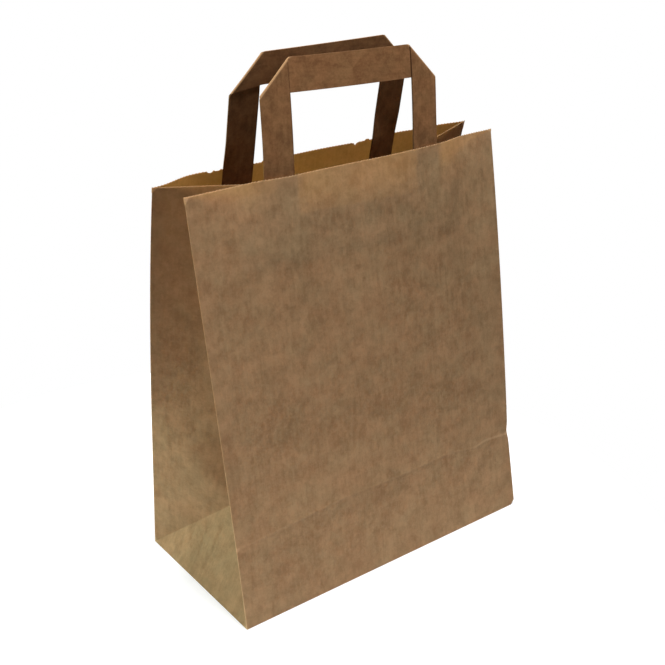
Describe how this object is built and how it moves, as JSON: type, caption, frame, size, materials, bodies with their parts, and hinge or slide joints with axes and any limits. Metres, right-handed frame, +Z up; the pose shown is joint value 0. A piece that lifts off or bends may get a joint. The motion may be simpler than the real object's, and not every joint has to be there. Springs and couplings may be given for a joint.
{
  "type": "paper carrier bag",
  "caption": "Plain brown kraft paper bag with a block bottom, V-folded side gussets and flat folded paper tape handles, standing with its mouth half open.",
  "frame": {"origin": "centre of the bottom, on the surface that the bag stands on", "axes": "+Z up, +X along the bag's width to the right of the front panel, +Y from the front panel to the back panel"},
  "size_m": [0.216, 0.114, 0.3174],
  "materials": {
    "kraft_paper": "unbleached kraft, matt, with fine streaks and flecks of fibre",
    "handle_tape": "folded and glued kraft tape, matt",
    "patch_paper": "unbleached kraft, matt"
  },
  "bodies": {
    "root": {"bag_body": "kraft_paper", "handle_front": "handle_tape", "handle_back": "handle_tape", "handle_patch_front": "patch_paper", "handle_patch_back": "patch_paper"}
  },
  "joints": []
}
